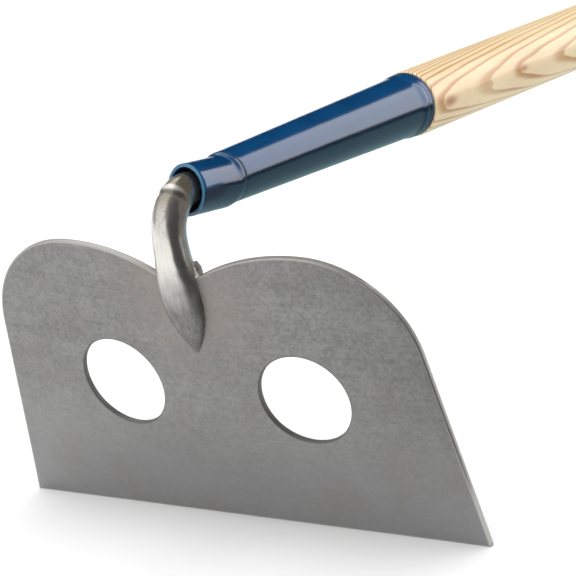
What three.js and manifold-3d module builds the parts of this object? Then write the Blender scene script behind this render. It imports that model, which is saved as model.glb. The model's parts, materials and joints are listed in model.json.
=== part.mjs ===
// A two-hole mixing hoe. A heart-shaped steel blade is welded to a swan neck, the neck's tang runs
// through a painted, tapered ferrule into a long wooden handle, and one pin holds the ferrule.
//
// The pieces are drawn in the blade's frame and then laid on the ground as one group:
//   x  across the blade, with 0 on its centre line
//   y  backwards, away from the blade's front face and towards the handle
//   z  upwards from the cutting edge
// Laid down, the hoe rests on its cutting edge and on the far end of its handle.
import * as THREE from 'three';
import { mergeVertices } from 'three/addons/utils/BufferGeometryUtils.js';
import Module from 'manifold-3d';

const wasm = await Module();
wasm.setup();

// ---- Driving dimensions, in millimetres and degrees ----

const GAP = 0.3;                   // clearance between pieces that touch

const BLADE_WIDTH = 254;           // cutting edge
const BLADE_THICKNESS = 3;
const LOBE_SPACING = 122;          // between the centres of the two lobes
const LOBE_HEIGHT = 93;            // lobe centres above the cutting edge
const LOBE_RADIUS = 54.6;
const SHOULDER_RADIUS = 100;       // wider arc from a lobe's top down to the notch
const SHOULDER_START = 86;         // angle on the lobe where the wider arc takes over
const HOLE_SPACING = 100;          // between the centres of the two mixing holes
const HOLE_HEIGHT = 73.3;
const HOLE_RADIUS = 23;
const RIDGE_FALL = 0.066;          // each half falls back this much for every mm off centre
const RIDGE_ROUNDING = 6;          // how softly the ridge line is rounded
const RIDGE_FADE = 60;             // height at which the ridge stands in full

const NECK_RADIUS = 8;             // round bar
const BEND_RADIUS = 16.3;          // centre line of the swan neck's bend
const BEND_INSET = 2;              // the bend starts this far inside the ferrule's mouth
const BEND_EXIT = 14;              // angle from upright at which the bar leaves the bend
const POINT_LENGTH = 32;           // forged point on the blade's face, below the notch
const SWELL = 2.2;                 // extra half width where the bar is forged over the notch
const SWELL_REACH = 24;            // how far above the notch the swelling starts
const TIP_RADIUS = 1.6;
const POINT_WIDTH_CURVE = 2.6;     // how quickly the point fills out across the blade
const POINT_DEPTH_CURVE = 1.7;     // and how quickly it thickens
const APPROACH_SETBACK = 0.8;      // the bar's centre line behind the ridge, just above the notch
const TANG_LENGTH = 120;           // from the ferrule's mouth into the wood
const TANG_END_RADIUS = 4.5;
const TANG_GUIDE = 0.6;            // share of the tang by which it has come on to the axis

const AXIS_HEIGHT = 38.8;          // handle axis above the notch, where it is measured from
const AXIS_SETBACK = 17.5;         // the same point, behind the blade's ridge
const HANDLE_TILT = 16.3;          // handle axis below a line square to the blade
const MOUTH_START = 5;             // ferrule mouth, along the handle axis

const COLLAR_LENGTH = 30;          // cylindrical collar at the small end
const NECK_PLAY = 2.3;             // room all round the bar inside the collar
const COLLAR_TILT = 5;             // the collar leans this much more than the cone
const MOUTH_SKEW = 14;             // the mouth is cut askew, so its right side reaches forward
const CONE_LENGTH = 157;
const CONE_STEP = 0.2;             // the cone starts this much wider than the collar
const LIP_LENGTH = 11;             // flared rim at the big end
const LIP_SLOPE = 6.6;             // length over which the flare rises
const LIP_FLARE = 0.7;             // the rim's rise over the end of the cone
const FERRULE_WALL = 1.8;

const HANDLE_LENGTH = 1676;        // whole stick, with the nose inside the ferrule
const HANDLE_RADIUS = 16.8;
const HANDLE_PROUD = 0.6;          // the wood stands this much outside the rim
const NOSE_SETBACK = 6;            // wood's nose behind the start of the cone
const SHOULDER_ROUNDING = 1.2;     // wood's edge behind the rim
const END_CHAMFER = 5;

const PIN_FROM_RIM = 26;           // pin's place, forward of the ferrule's rim
const PIN_RADIUS = 1.6;
const PIN_LENGTH = 13;
const PIN_HEAD_RADIUS = 3.4;
const PIN_HEAD_HEIGHT = 1.5;
const PIN_BROW_RADIUS = 3.06;      // where the head's side turns over into its top
const PIN_BROW_HEIGHT = 0.825;
const PIN_CROWN_RADIUS = 1.7;      // flat on the head

const SIDE_WELD_SIZE = 3.2;        // half width of a bead beside the bar
const SIDE_WELD_REACH = 6;         // half its height
const SIDE_WELD_RAISE = 1.8;       // its middle above the blade's top edge
const BACK_WELD_WIDTH = 11;        // half width of the bead behind the notch
const BACK_WELD_DEPTH = 3.6;

// ---- Facets ----

const TURNED_SIDES = 48;           // ferrule and handle
const BAR_SIDES = 24;
const BAR_STEPS = 64;              // along the neck
const BEND_STEPS = 5;              // guide points round the bend
const PIN_SIDES = 16;
const BEAD_SIDES = 16;
const BEAD_RINGS = 10;
const OUTLINE_STEPS = 18;          // on each arc of the blade's outline
const SLAB_COLUMNS = 54;           // across the sheet the blade is cut from
const SLAB_ROWS = 20;
const OVERRUN = 1;                 // how far a cutter passes the surface it cuts

// ---- Places worked out from them ----

const degrees = THREE.MathUtils.degToRad;
const { smoothstep, lerp, clamp } = THREE.MathUtils;

const lobe = new THREE.Vector2(LOBE_SPACING / 2, LOBE_HEIGHT);
const shoulderReach = SHOULDER_RADIUS - LOBE_RADIUS;
const shoulder = new THREE.Vector2(
  lobe.x - shoulderReach * Math.cos(degrees(SHOULDER_START)),
  lobe.y - shoulderReach * Math.sin(degrees(SHOULDER_START)),
);

// Height of the blade's top edge near the notch, x being the distance off its centre line.
function topEdge(x) {
  return shoulder.y + Math.sqrt(SHOULDER_RADIUS ** 2 - (shoulder.x - Math.abs(x)) ** 2);
}

const notch = topEdge(0);
const tilt = degrees(HANDLE_TILT);
const handleAxis = new THREE.Vector3(0, Math.cos(tilt), -Math.sin(tilt));
const handleUp = new THREE.Vector3(0, Math.sin(tilt), Math.cos(tilt));
const axisStart = new THREE.Vector3(0, AXIS_SETBACK, notch + AXIS_HEIGHT);

const coneStart = MOUTH_START + COLLAR_LENGTH;
const coneEnd = coneStart + CONE_LENGTH;
const rim = coneEnd + LIP_LENGTH;
const noseStart = coneStart + NOSE_SETBACK;
const handleEnd = noseStart + HANDLE_LENGTH;
const collarPivot = (MOUTH_START + coneStart) / 2;
const collarRadius = NECK_RADIUS + NECK_PLAY + FERRULE_WALL;
const coneStartRadius = collarRadius + CONE_STEP;
const lipRadius = HANDLE_RADIUS - HANDLE_PROUD;
const coneEndRadius = lipRadius - LIP_FLARE;

// The point a given way along the handle axis, and raised square to it.
function onAxis(along, raised = 0) {
  return axisStart.clone().addScaledVector(handleAxis, along).addScaledVector(handleUp, raised);
}

// ---- Solids ----

function solid(geometry) {
  const bare = geometry.clone();
  bare.deleteAttribute('normal');
  bare.deleteAttribute('uv');
  const merged = mergeVertices(bare);
  return new wasm.Manifold(new wasm.Mesh({
    numProp: 3,
    vertProperties: merged.attributes.position.array,
    triVerts: new Uint32Array(merged.index.array),
  }));
}

function geometryOf(manifold) {
  const mesh = manifold.getMesh();
  const geometry = new THREE.BufferGeometry();
  geometry.setAttribute('position', new THREE.BufferAttribute(mesh.vertProperties, 3));
  geometry.setIndex(new THREE.BufferAttribute(mesh.triVerts, 1));
  geometry.computeVertexNormals();
  return geometry;
}

// A turned shape on the handle axis; each profile point is [radius, distance along the axis].
function turned(profile, around) {
  const points = profile.map(([radius, along]) => new THREE.Vector2(radius, along));
  const geometry = new THREE.LatheGeometry(points, around);
  geometry.rotateX(-tilt);
  geometry.translate(axisStart.x, axisStart.y, axisStart.z);
  return geometry;
}

// A bar along a curve in the plane x = 0. A cylinder of unit size is bent along the curve, and
// radii(centre) gives its half width across the plane and its half depth within it.
function bar(curve, radii, around, along) {
  const geometry = new THREE.CylinderGeometry(1, 1, 1, around, along);
  const position = geometry.attributes.position;
  const across = new THREE.Vector3(1, 0, 0);
  for (let i = 0; i < position.count; i++) {
    const t = position.getY(i) + 0.5;
    const centre = curve.getPointAt(t);
    const [halfWidth, halfDepth] = radii(centre);
    const normal = across.clone().cross(curve.getTangentAt(t));
    const point = centre.clone();
    point.addScaledVector(across, position.getX(i) * halfWidth);
    point.addScaledVector(normal, position.getZ(i) * halfDepth);
    position.setXYZ(i, point.x, point.y, point.z);
  }
  return geometry;
}

// ---- Blade ----

// How far the front face lies behind the ridge: a shallow roof that fades to a straight edge.
function faceDepth(x, z) {
  const standing = smoothstep(z, 0, RIDGE_FADE);
  const roof = RIDGE_FALL * (Math.hypot(x, RIDGE_ROUNDING) - RIDGE_ROUNDING);
  const edge = RIDGE_FALL * (BLADE_WIDTH / 2 - RIDGE_ROUNDING);
  return lerp(edge, roof, standing);
}

// The heart outline: sides tangent to the lobes, lobes, and wider arcs that meet in the notch.
function bladeOutline(grow) {
  const radius = LOBE_RADIUS + grow;
  const corner = new THREE.Vector2(BLADE_WIDTH / 2 + grow, -grow);
  const away = corner.clone().sub(lobe);
  const sideAngle = Math.atan2(away.y, away.x) + Math.acos(radius / away.length());
  const start = degrees(SHOULDER_START);
  const wide = SHOULDER_RADIUS + grow;
  const notchAngle = Math.acos(-shoulder.x / wide);
  const shape = new THREE.Shape();
  shape.moveTo(-corner.x, corner.y);
  shape.lineTo(corner.x, corner.y);
  shape.absarc(lobe.x, lobe.y, radius, sideAngle, start);
  shape.absarc(shoulder.x, shoulder.y, wide, start, notchAngle);
  shape.absarc(-shoulder.x, shoulder.y, wide, Math.PI - notchAngle, Math.PI - start);
  shape.absarc(-lobe.x, lobe.y, radius, Math.PI - start, Math.PI - sideAngle);
  return shape;
}

// The plate between the front face, moved forward by ahead, and a face that much further back.
function plate(ahead, thickness, outline) {
  const wide = BLADE_WIDTH * 1.5;
  const tall = LOBE_HEIGHT + LOBE_RADIUS * 2;
  const slab = new THREE.BoxGeometry(wide, thickness, tall, SLAB_COLUMNS, 1, SLAB_ROWS);
  slab.translate(0, thickness / 2 - ahead, tall / 2 - LOBE_RADIUS / 2);
  const position = slab.attributes.position;
  for (let i = 0; i < position.count; i++) {
    const depth = faceDepth(position.getX(i), position.getZ(i));
    position.setY(i, position.getY(i) + depth);
  }
  const settings = { depth: wide, bevelEnabled: false, curveSegments: OUTLINE_STEPS };
  const cutter = new THREE.ExtrudeGeometry(outline, settings);
  cutter.rotateX(Math.PI / 2);
  cutter.translate(0, wide / 2, 0);
  return solid(slab).intersect(solid(cutter));
}

function makeBlade() {
  const outline = bladeOutline(0);
  for (const side of [-1, 1]) {
    const hole = new THREE.Path();
    hole.absarc(side * HOLE_SPACING / 2, HOLE_HEIGHT, HOLE_RADIUS, 0, Math.PI * 2);
    outline.holes.push(hole);
  }
  return plate(0, BLADE_THICKNESS, outline);
}

// Room that the blade needs: everything behind its front face, inside its outline.
function bladeRoom() {
  return plate(GAP, NECK_RADIUS * 4, bladeOutline(GAP));
}

// ---- Swan neck ----

// Tang on the handle axis, a tight bend, and a nearly upright run down on to the blade's face.
function neckCurve(tangEnd) {
  const lean = degrees(COLLAR_TILT);
  const mouthRise = (collarPivot - MOUTH_START) * Math.tan(lean) + GAP;
  const mouth = onAxis(MOUTH_START, mouthRise);
  const out = handleAxis.clone().multiplyScalar(-Math.cos(lean));
  out.addScaledVector(handleUp, Math.sin(lean));
  const bendStart = mouth.clone().addScaledVector(out, -BEND_INSET);
  const inward = new THREE.Vector3(0, -out.z, out.y);
  const hub = bendStart.clone().addScaledVector(inward, BEND_RADIUS);
  const turn = Math.PI / 2 - degrees(BEND_EXIT) + tilt + lean;
  const points = [
    onAxis(tangEnd),
    onAxis(lerp(coneStart, tangEnd, TANG_GUIDE)),
    onAxis(coneStart + NECK_RADIUS),
  ];
  for (let i = 0; i <= BEND_STEPS; i++) {
    const angle = turn * i / BEND_STEPS;
    const spoke = inward.clone().multiplyScalar(-Math.cos(angle));
    spoke.addScaledVector(out, Math.sin(angle));
    points.push(hub.clone().addScaledVector(spoke, BEND_RADIUS));
  }
  points.push(new THREE.Vector3(0, APPROACH_SETBACK, notch + SWELL_REACH / 2));
  points.push(new THREE.Vector3(0, 0, notch));
  points.push(new THREE.Vector3(0, 0, notch - POINT_LENGTH / 2));
  points.push(new THREE.Vector3(0, TIP_RADIUS / 2, notch - POINT_LENGTH));
  return new THREE.CatmullRomCurve3(points, false, 'centripetal');
}

// Half width and half depth of the bar: round, slimmer in the wood, forged to a point at the end.
function neckRadii(centre) {
  const intoWood = centre.clone().sub(axisStart).dot(handleAxis) - MOUTH_START;
  const slimming = clamp(intoWood / TANG_LENGTH, 0, 1);
  const radius = lerp(NECK_RADIUS, TANG_END_RADIUS, slimming);
  const aboveTip = clamp((centre.z - notch + POINT_LENGTH) / POINT_LENGTH, 0, 1);
  const swollen = smoothstep(notch + SWELL_REACH - centre.z, 0, SWELL_REACH);
  const widening = 1 - (1 - aboveTip) ** POINT_WIDTH_CURVE;
  const thickening = 1 - (1 - aboveTip) ** POINT_DEPTH_CURVE;
  const halfWidth = lerp(TIP_RADIUS, radius + SWELL * swollen, widening);
  const halfDepth = lerp(TIP_RADIUS, radius, thickening);
  return [halfWidth, halfDepth];
}

function neckBar(grow) {
  const curve = neckCurve(MOUTH_START + TANG_LENGTH + grow);
  const grown = (centre) => neckRadii(centre).map((radius) => radius + grow);
  return solid(bar(curve, grown, BAR_SIDES, BAR_STEPS));
}

// ---- Welds ----

function bead(x, y, z, halfWidth, halfDepth, halfHeight) {
  const geometry = new THREE.SphereGeometry(1, BEAD_SIDES, BEAD_RINGS);
  geometry.scale(halfWidth, halfDepth, halfHeight);
  geometry.translate(x, y, z);
  return solid(geometry);
}

// A bead in the corner between the bar's side and the blade's top edge.
function sideBead(side) {
  const x = NECK_RADIUS + SWELL;
  const y = faceDepth(x, notch) + BLADE_THICKNESS;
  const z = topEdge(x) + SIDE_WELD_RAISE;
  return bead(side * x, y, z, SIDE_WELD_SIZE, SIDE_WELD_SIZE, SIDE_WELD_REACH);
}

// A bead under the bar, on the blade's back face.
function backBead() {
  const y = faceDepth(0, notch) + BLADE_THICKNESS + GAP;
  return bead(0, y, notch - GAP, BACK_WELD_WIDTH, BACK_WELD_DEPTH, BACK_WELD_DEPTH);
}

// ---- Ferrule ----

// The collar's round bar, leaning about the middle of its length.
function collarBar(radius, from, to) {
  const geometry = new THREE.CylinderGeometry(radius, radius, to - from, TURNED_SIDES);
  geometry.translate(0, (from + to) / 2 - collarPivot, 0);
  geometry.rotateX(-degrees(COLLAR_TILT));
  geometry.translate(0, collarPivot, 0);
  geometry.rotateX(-tilt);
  geometry.translate(axisStart.x, axisStart.y, axisStart.z);
  return solid(geometry);
}

// The bar from the skew mouth onwards. The cut passes through the middle of the mouth.
function behindMouth(manifold) {
  const angle = tilt + degrees(COLLAR_TILT);
  const collarAxis = new THREE.Vector3(0, Math.cos(angle), -Math.sin(angle));
  const middle = onAxis(collarPivot).addScaledVector(collarAxis, MOUTH_START - collarPivot);
  const skew = degrees(MOUTH_SKEW);
  const inward = collarAxis.multiplyScalar(Math.cos(skew));
  inward.x = Math.sin(skew);
  return manifold.trimByPlane(inward.toArray(), inward.dot(middle));
}

function coneRadius(along) {
  return lerp(coneStartRadius, coneEndRadius, (along - coneStart) / CONE_LENGTH);
}

function makeFerrule() {
  const outside = solid(turned([
    [0, coneStart],
    [coneStartRadius, coneStart],
    [coneEndRadius, coneEnd],
    [lipRadius, coneEnd + LIP_SLOPE],
    [lipRadius, rim],
    [0, rim],
  ], TURNED_SIDES));
  const inside = solid(turned([
    [0, coneStart - FERRULE_WALL],
    [coneStartRadius - FERRULE_WALL, coneStart - FERRULE_WALL],
    [coneRadius(rim + OVERRUN) - FERRULE_WALL, rim + OVERRUN],
    [0, rim + OVERRUN],
  ], TURNED_SIDES));
  const reach = collarRadius * Math.tan(degrees(MOUTH_SKEW)) + OVERRUN;
  const longCollar = collarBar(collarRadius, MOUTH_START - reach, coneStart + OVERRUN);
  const collar = behindMouth(longCollar);
  const boreRadius = collarRadius - FERRULE_WALL;
  const boreStart = MOUTH_START - reach - OVERRUN;
  const collarBore = collarBar(boreRadius, boreStart, coneStart + OVERRUN * 2);
  return outside.add(collar).subtract(inside).subtract(collarBore).subtract(pinBar(GAP));
}

// ---- Handle ----

function makeHandle() {
  const seat = FERRULE_WALL + GAP;
  const shoulderStart = rim + GAP;
  const stick = solid(turned([
    [0, noseStart],
    [coneRadius(noseStart) - seat, noseStart],
    [coneRadius(shoulderStart) - seat, shoulderStart],
    [HANDLE_RADIUS - SHOULDER_ROUNDING, shoulderStart],
    [HANDLE_RADIUS, shoulderStart + SHOULDER_ROUNDING],
    [HANDLE_RADIUS, handleEnd - END_CHAMFER],
    [HANDLE_RADIUS - END_CHAMFER, handleEnd],
    [0, handleEnd],
  ], TURNED_SIDES));
  return stick.subtract(neckBar(GAP)).subtract(pinBar(GAP));
}

// ---- Ferrule pin ----

// A round-headed pin, driven square to the axis from the left side.
function pinBar(grow) {
  const place = rim - PIN_FROM_RIM;
  const surface = coneRadius(place) + GAP;
  const profile = [
    [0, -PIN_LENGTH - grow],
    [PIN_RADIUS + grow, -PIN_LENGTH - grow],
    [PIN_RADIUS + grow, 0],
  ];
  if (grow > 0) {
    profile.push([PIN_RADIUS + grow, PIN_HEAD_HEIGHT]);
  } else {
    profile.push([PIN_HEAD_RADIUS, 0]);
    profile.push([PIN_BROW_RADIUS, PIN_BROW_HEIGHT]);
    profile.push([PIN_CROWN_RADIUS, PIN_HEAD_HEIGHT]);
  }
  profile.push([0, PIN_HEAD_HEIGHT]);
  const points = profile.map(([radius, height]) => new THREE.Vector2(radius, height));
  const geometry = new THREE.LatheGeometry(points, PIN_SIDES);
  geometry.rotateZ(Math.PI / 2);
  const base = onAxis(place);
  geometry.translate(-surface, base.y, base.z);
  return solid(geometry);
}

// ---- Assembly ----

const steel = { color: 0x8f8b86, roughness: 0.45, metalness: 0.9 };
const brightSteel = { color: 0xa8a5a0, roughness: 0.35, metalness: 0.95 };
const weldMetal = { color: 0xb5b2ab, roughness: 0.4, metalness: 0.9 };
const bluePaint = { color: 0x12406f, roughness: 0.25, metalness: 0.1 };
const wood = { color: 0xe6cfa6, roughness: 0.6, metalness: 0 };

const assembly = new THREE.Group();

function add(name, manifold, finish) {
  const mesh = new THREE.Mesh(geometryOf(manifold), new THREE.MeshStandardMaterial(finish));
  mesh.name = name;
  assembly.add(mesh);
}

const neckRoom = neckBar(GAP);
const bladeClearance = plate(GAP, BLADE_THICKNESS + GAP * 2, bladeOutline(GAP));
const openNotch = neckRoom.subtract(plate(0, NECK_RADIUS * 4, bladeOutline(0)));

add('blade', makeBlade(), steel);
add('neck', neckBar(0).subtract(bladeRoom()), brightSteel);
add('weld_left', sideBead(-1).subtract(neckRoom).subtract(bladeClearance), weldMetal);
add('weld_right', sideBead(1).subtract(neckRoom).subtract(bladeClearance), weldMetal);
add('weld_back', backBead().subtract(openNotch).subtract(bladeClearance), weldMetal);
add('ferrule', makeFerrule(), bluePaint);
add('ferrule_pin', pinBar(0), brightSteel);
add('handle', makeHandle(), wood);

// The ground touches the front of the cutting edge and the underside of the handle's far end.
const edgeTouch = new THREE.Vector3(0, faceDepth(0, 0), 0);
const endTouch = onAxis(handleEnd - END_CHAMFER, -HANDLE_RADIUS);
const ground = endTouch.clone().sub(edgeTouch);
assembly.rotation.x = -Math.atan2(ground.z, ground.y);
assembly.updateMatrixWorld(true);

// The origin is under the middle of the hoe, on the ground.
const box = new THREE.Box3().setFromObject(assembly, true);
const middle = box.getCenter(new THREE.Vector3());
assembly.position.set(-middle.x, -middle.y, -box.min.z);

const group = new THREE.Group();
group.add(assembly);

export default group;
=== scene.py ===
"""A two-hole mixing hoe, finished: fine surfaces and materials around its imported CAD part.

Sizes are in metres. The pieces are drawn in the blade's frame, with x across the blade, y back
from its ridge and z up from its cutting edge, and laid() then puts them where the CAD blade lies.
"""

import json
import math

import bmesh
import bpy
import numpy as np
from bpy.props import FloatProperty, FloatVectorProperty, PointerProperty
from mathutils import Matrix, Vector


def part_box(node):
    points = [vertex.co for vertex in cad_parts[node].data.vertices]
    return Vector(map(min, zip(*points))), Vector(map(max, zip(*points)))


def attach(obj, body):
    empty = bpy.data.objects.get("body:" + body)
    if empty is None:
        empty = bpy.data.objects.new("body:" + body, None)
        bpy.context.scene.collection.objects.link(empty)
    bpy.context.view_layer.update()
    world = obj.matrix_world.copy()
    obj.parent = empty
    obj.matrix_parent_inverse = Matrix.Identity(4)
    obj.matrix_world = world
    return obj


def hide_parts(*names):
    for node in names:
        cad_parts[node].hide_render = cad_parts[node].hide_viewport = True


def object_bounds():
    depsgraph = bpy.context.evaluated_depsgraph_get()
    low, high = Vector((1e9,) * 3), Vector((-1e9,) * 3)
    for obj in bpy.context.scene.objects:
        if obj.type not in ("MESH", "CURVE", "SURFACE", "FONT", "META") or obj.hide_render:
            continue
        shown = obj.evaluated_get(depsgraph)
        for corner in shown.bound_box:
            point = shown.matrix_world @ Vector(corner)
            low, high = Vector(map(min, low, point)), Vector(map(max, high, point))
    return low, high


bl_info = {
    "name": "Mixing Hoe",
    "version": (1, 0, 0),
    "blender": (4, 5, 0),
    "location": "3D View > Sidebar > Hoe",
    "description": "Builds a two-hole mixing hoe around its CAD part",
    "category": "Add Mesh",
}

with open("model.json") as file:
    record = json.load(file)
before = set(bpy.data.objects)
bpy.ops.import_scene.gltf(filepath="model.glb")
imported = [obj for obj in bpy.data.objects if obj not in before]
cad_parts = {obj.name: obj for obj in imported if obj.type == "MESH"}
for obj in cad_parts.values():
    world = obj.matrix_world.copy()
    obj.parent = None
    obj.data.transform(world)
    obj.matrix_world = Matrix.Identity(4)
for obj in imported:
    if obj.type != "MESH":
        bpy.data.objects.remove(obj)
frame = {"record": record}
cad_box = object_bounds()
record = frame["record"]

BODY = "root"
ACROSS = np.array((1.0, 0.0, 0.0))
MERGE = 2e-6  # points closer than this become one


# ---- Sizes and colours ----


def length(name, default, description):
    return FloatProperty(
        name=name, description=description, default=default, min=0.0, precision=5, unit="LENGTH"
    )


def angle(name, degrees, description):
    return FloatProperty(
        name=name, description=description, default=math.radians(degrees), subtype="ANGLE"
    )


def number(name, default, description):
    return FloatProperty(name=name, description=description, default=default)


def colour(name, default, description):
    return FloatVectorProperty(
        name=name, description=description, default=default, min=0.0, max=1.0, subtype="COLOR"
    )


class BladeSizes(bpy.types.PropertyGroup):
    width: length("Width", 0.254, "Cutting edge")
    thickness: length("Thickness", 0.003, "Steel plate")
    lobe_spacing: length("Lobe spacing", 0.122, "Between the centres of the two lobes")
    lobe_height: length("Lobe height", 0.093, "Lobe centres above the cutting edge")
    lobe_radius: length("Lobe radius", 0.0546, "Outer arc of a lobe")
    shoulder_radius: length("Shoulder radius", 0.1, "Wider arc from a lobe's top to the notch")
    shoulder_start: angle("Shoulder start", 86.0, "Angle at which the wider arc takes over")
    hole_spacing: length("Hole spacing", 0.1, "Between the centres of the mixing holes")
    hole_height: length("Hole height", 0.0733, "Hole centres above the cutting edge")
    hole_radius: length("Hole radius", 0.023, "Mixing hole")
    ridge_fall: number("Ridge fall", 0.066, "How far a half falls back for each metre off centre")
    ridge_rounding: length("Ridge rounding", 0.006, "How softly the ridge is rounded")
    ridge_fade: length("Ridge fade", 0.06, "Height at which the ridge stands in full")
    edge_rounding: length("Edge rounding", 0.00045, "Sheared edges, eased by tumbling")
    steel: colour("Steel", (0.335, 0.333, 0.320), "Rolled plate")
    dark_steel: colour("Dark steel", (0.185, 0.186, 0.181), "Mill mottling")
    # Painted light: lifts the grey towards the cutting edge, against the shadowed floor the blade
    # reflects there.
    cutting_edge_painted_light: colour("Low steel", (0.300, 0.304, 0.304), "Scoured towards the cutting edge")
    rubbed_steel: colour("Rubbed steel", (0.55, 0.54, 0.51), "Along the sheared edges")
    scratched_steel: colour("Scratched steel", (0.42, 0.41, 0.39), "Drag marks")
    # Painted shade on the walls of the mixing holes.
    hole_wall_painted_shade: colour("Punched steel", (0.07, 0.068, 0.064), "Walls of the mixing holes")
    warm_steel: colour("Warm steel", (0.300, 0.262, 0.240), "Heat tint beside the weld")


class NeckSizes(bpy.types.PropertyGroup):
    radius: length("Radius", 0.008, "Round bar")
    bend_radius: length("Bend radius", 0.0163, "Centre line of the bend")
    bend_inset: length("Bend inset", 0.002, "Start of the bend inside the ferrule's mouth")
    bend_exit: angle("Bend exit", 14.0, "Bar's angle from upright as it leaves the bend")
    point_length: length("Point length", 0.032, "Forged point below the notch")
    swell: length("Swell", 0.0022, "Extra half width over the notch")
    swell_reach: length("Swell reach", 0.024, "How far above the notch the swelling starts")
    tip_radius: length("Tip radius", 0.0016, "End of the point")
    tang_length: length("Tang length", 0.12, "From the ferrule's mouth into the wood")
    tang_end_radius: length("Tang end radius", 0.0045, "End of the tang")
    groove_place: length("Groove", 0.0104, "From the ferrule's mouth, along the bar")
    groove_width: length("Groove width", 0.0008, "Half its width")
    groove_depth: length("Groove depth", 0.0007, "On the outer side of the bend")
    bulge_place: length("Bulge", 0.0084, "From the ferrule's mouth, along the bar")
    bulge_width: length("Bulge width", 0.0012, "Half its width")
    bulge_height: length("Bulge height", 0.0004, "On the outer side of the bend")
    steel: colour("Steel", (0.74, 0.72, 0.68), "Ground bar")
    # Also painted shade: this colour darkens the groove on the bend.
    dark_steel: colour("Dark steel", (0.19, 0.187, 0.178), "Forge scale left in the hollows")
    # Painted highlight: near-white on top of the bulge at the bend.
    bulge_painted_highlight: colour("Worn steel", (0.95, 0.94, 0.91), "Top of the bulge, rubbed bright")
    brown_steel: colour("Brown steel", (0.26, 0.225, 0.165), "Heat tint near the ferrule")


class FerruleSizes(bpy.types.PropertyGroup):
    axis_height: length("Axis height", 0.0388, "Handle axis above the notch")
    axis_setback: length("Axis setback", 0.0175, "The same point, behind the ridge")
    tilt: angle("Handle tilt", 16.3, "Handle axis below a line square to the blade")
    mouth: length("Mouth", 0.005, "Small end, along the axis")
    collar: length("Collar", 0.03, "Length of the collar")
    play: length("Neck play", 0.0023, "Room round the bar in the collar")
    collar_tilt: angle("Collar tilt", 5.0, "Extra lean of the collar")
    mouth_skew: angle("Mouth skew", 14.0, "The mouth's right side reaches forward")
    cone: length("Cone", 0.157, "Length of the cone")
    cone_step: length("Cone step", 0.0002, "Cone's start over the collar")
    lip_slope: length("Lip slope", 0.0066, "Length over which the rim flares")
    lip: length("Lip", 0.011, "Length of the rim")
    lip_flare: length("Lip flare", 0.0007, "Rise of the rim")
    wall: length("Wall", 0.0018, "Rolled steel")
    groove: length("Groove", 0.0002, "Depth of the rolled line before the rim")
    enamel: colour("Enamel", (0.001, 0.052, 0.158), "Deep blue enamel")
    # Painted shade in the fold behind the collar and in a ring at the rim.
    fold_and_rim_painted_shade: colour("Crease enamel", (0.0, 0.006, 0.02), "In the fold and at the rim")
    # Painted shade darkening the ferrule's underside.
    shaded_enamel: colour("Shaded enamel", (0.001, 0.014, 0.040), "Where it ran thick, underneath")
    # Painted highlight along the mouth's edge.
    mouth_edge_painted_highlight: colour("Thin enamel", (0.055, 0.19, 0.33), "On the mouth's edge")


class HandleSizes(bpy.types.PropertyGroup):
    length: length("Length", 1.676, "Whole stick")
    radius: length("Radius", 0.0168, "Round stick")
    proud: length("Proud", 0.0006, "Stands this much outside the rim")
    nose_setback: length("Nose setback", 0.006, "Nose behind the start of the cone")
    rounding: length("Shoulder rounding", 0.0012, "Edge behind the rim")
    chamfer: length("End chamfer", 0.005, "Far end")
    fit: length("Fit", 0.0003, "Clearance inside the ferrule")
    ring_spacing: length("Ring spacing", 0.0022, "Between growth rings")
    ring_slope: number("Ring slope", 0.055, "How far the rings cross the axis for each metre")
    ring_side: angle("Ring side", -2.0, "Side that faces the bark, from +x upwards")
    knot_along: length("Knot", 0.2175, "Knot's place along the axis")
    pale: colour("Pale wood", (0.90, 0.73, 0.47), "Early wood")
    warm: colour("Warm wood", (0.80, 0.58, 0.31), "Warmer streaks of early wood")
    late: colour("Late wood", (0.52, 0.27, 0.10), "Darker line of each ring")
    knot: colour("Knot", (0.42, 0.16, 0.05), "Heart of a knot")


class PinSizes(bpy.types.PropertyGroup):
    from_rim: length("From rim", 0.026, "Forward of the ferrule's rim")
    radius: length("Radius", 0.0016, "Shank")
    length: length("Length", 0.013, "Shank")
    head_radius: length("Head radius", 0.0034, "Round head")
    head_height: length("Head height", 0.0015, "Round head")
    steel: colour("Steel", (0.50, 0.50, 0.48), "Bright pin")
    dark_steel: colour("Dark steel", (0.20, 0.19, 0.18), "Dirt round the head")


class WeldSizes(bpy.types.PropertyGroup):
    side_size: length("Side bead", 0.0027, "Half width of a bead beside the bar")
    side_reach: length("Side reach", 0.006, "Half its height")
    side_raise: length("Side raise", 0.0018, "Its middle above the blade's edge")
    side_bite: length("Side bite", 0.0007, "How far its middle lies inside the bar")
    back_raise: length("Back raise", 0.0003, "Middle of the back bead behind the blade's back")
    back_width: length("Back width", 0.011, "Half width of the bead behind the notch")
    back_depth: length("Back depth", 0.0036, "Half depth of that bead")
    metal: colour("Weld metal", (0.60, 0.57, 0.52), "Bright ripples")
    dark_metal: colour("Dark metal", (0.13, 0.115, 0.10), "Oxide between them")


class StageSizes(bpy.types.PropertyGroup):
    floor: length("Floor", 60.0, "Side of the square floor")
    floor_colour: colour("Floor colour", (0.9, 0.9, 0.9), "Pale paper")
    sky: number("Sky", 0.42, "Strength of the even light from all round")
    lamp: number("Lamp", 3.1, "Strength of the soft lamp overhead")
    lamp_spread: angle("Lamp spread", 100.0, "Width of the lamp, which softens its shadows")
    lens: FloatProperty(
        name="Lens", description="Focal length", default=192.406, min=1.0, unit="CAMERA"
    )
    panel: number("Panel", 2.8, "Strength of the card that shows in the enamel")


# ---- The frame the pieces are drawn in ----


def sizes():
    """The scene's size groups, by short names."""
    scene = bpy.context.scene
    return (
        scene.hoe_blade, scene.hoe_neck, scene.hoe_ferrule,
        scene.hoe_handle, scene.hoe_pin, scene.hoe_weld,
    )


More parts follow.
